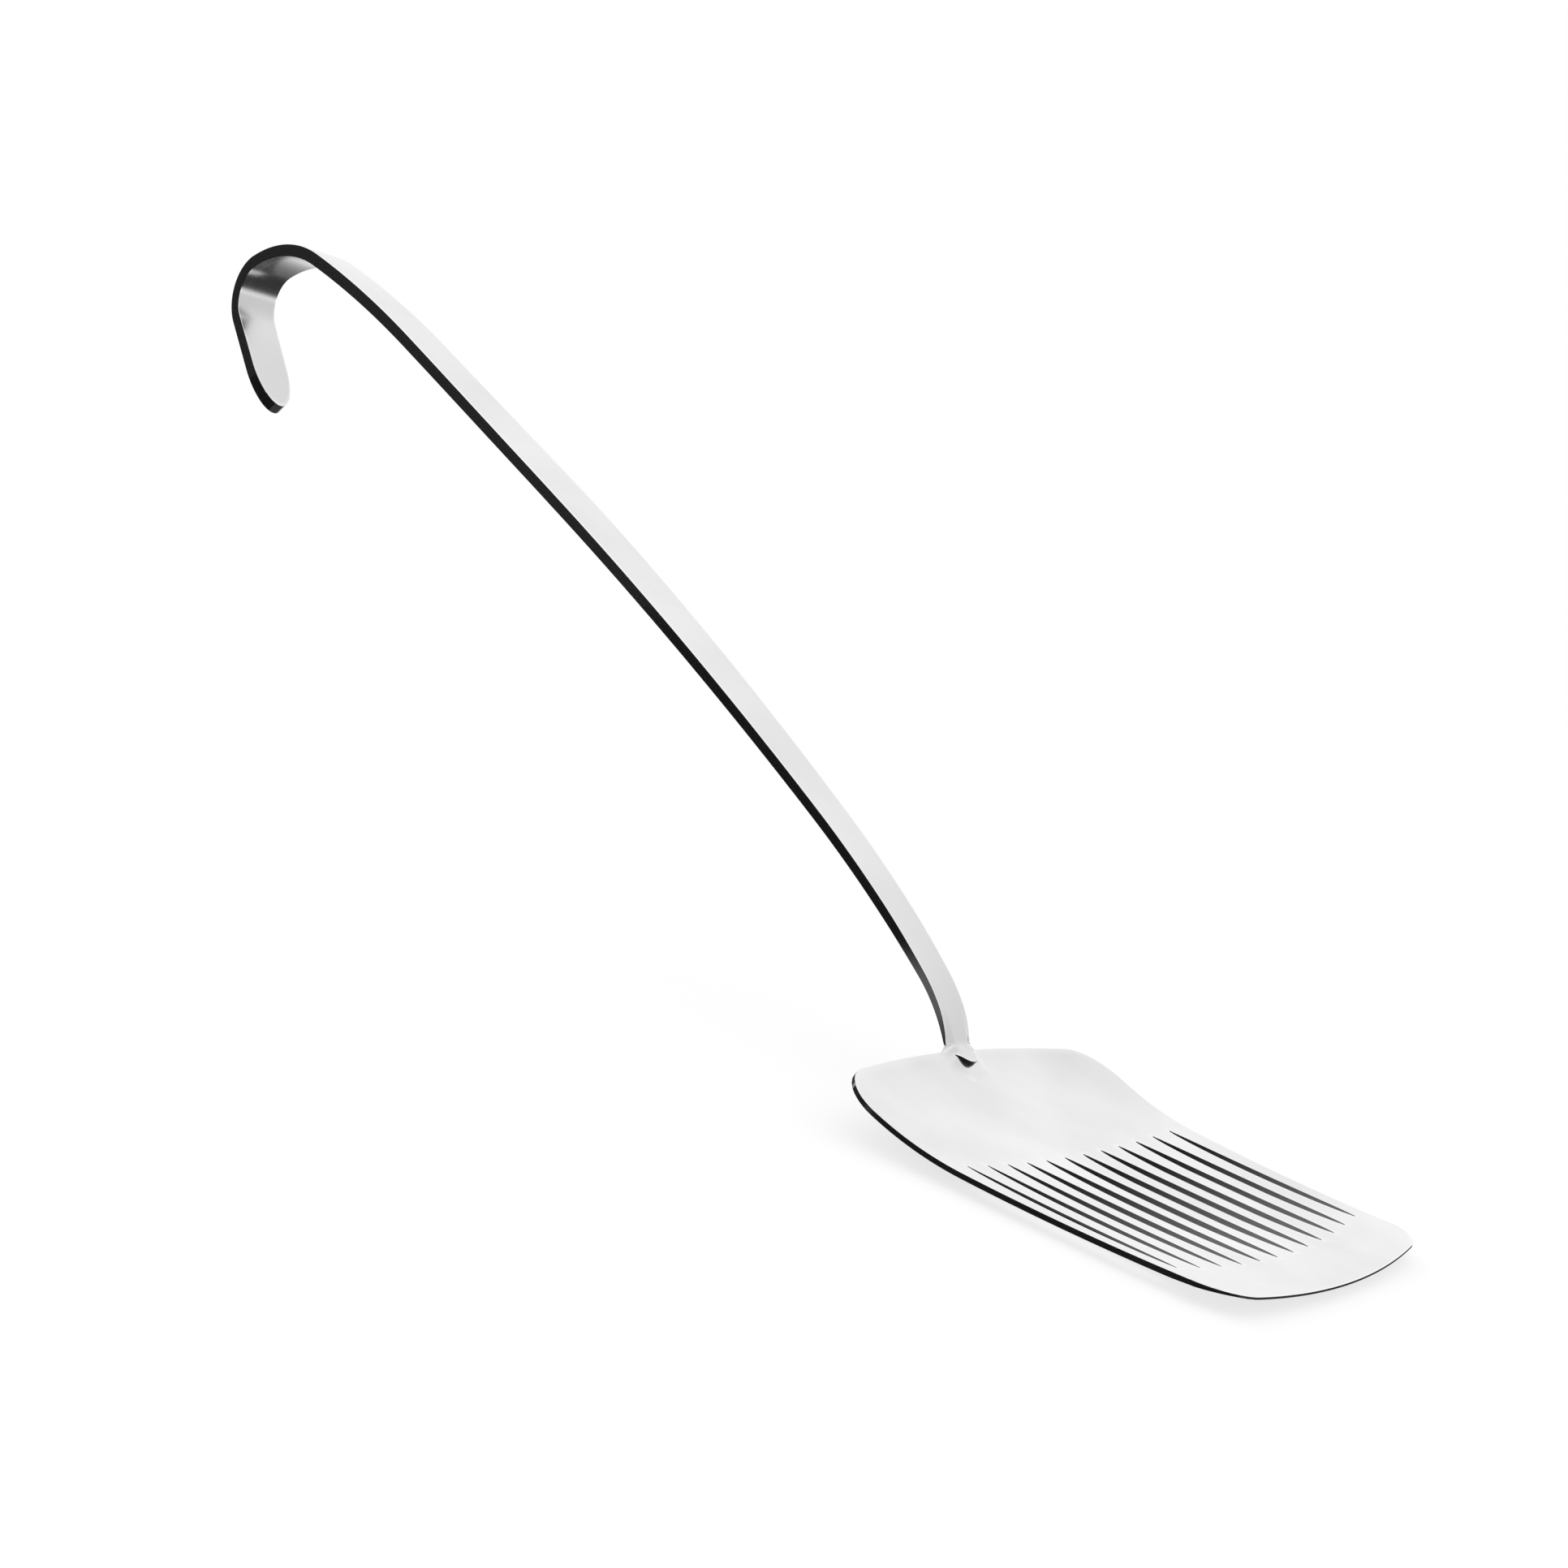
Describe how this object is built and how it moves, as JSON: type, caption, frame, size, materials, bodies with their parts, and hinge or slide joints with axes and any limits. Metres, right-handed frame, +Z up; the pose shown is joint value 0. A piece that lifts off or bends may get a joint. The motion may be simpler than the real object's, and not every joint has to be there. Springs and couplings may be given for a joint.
{
  "type": "fish slice",
  "caption": "Slotted fish slice: a wide dished steel blade with a thin tip, welded to a long arched flat handle that ends in a hanging hook.",
  "frame": {"origin": "middle of the bounding box's base, below the handle, level with the lowest line of the blade's underside", "axes": "+X from the hook towards the blade's tip, +Y across the blade, +Z up with the blade's slotted part level"},
  "size_m": [0.4274, 0.0958, 0.1621],
  "materials": {
    "blade": "satin",
    "handle": "satin",
    "welds": "ground smooth"
  },
  "bodies": {
    "root": {"blade": "blade", "handle": "handle", "weld_bead_left": "welds", "weld_bead_right": "welds"}
  },
  "joints": []
}
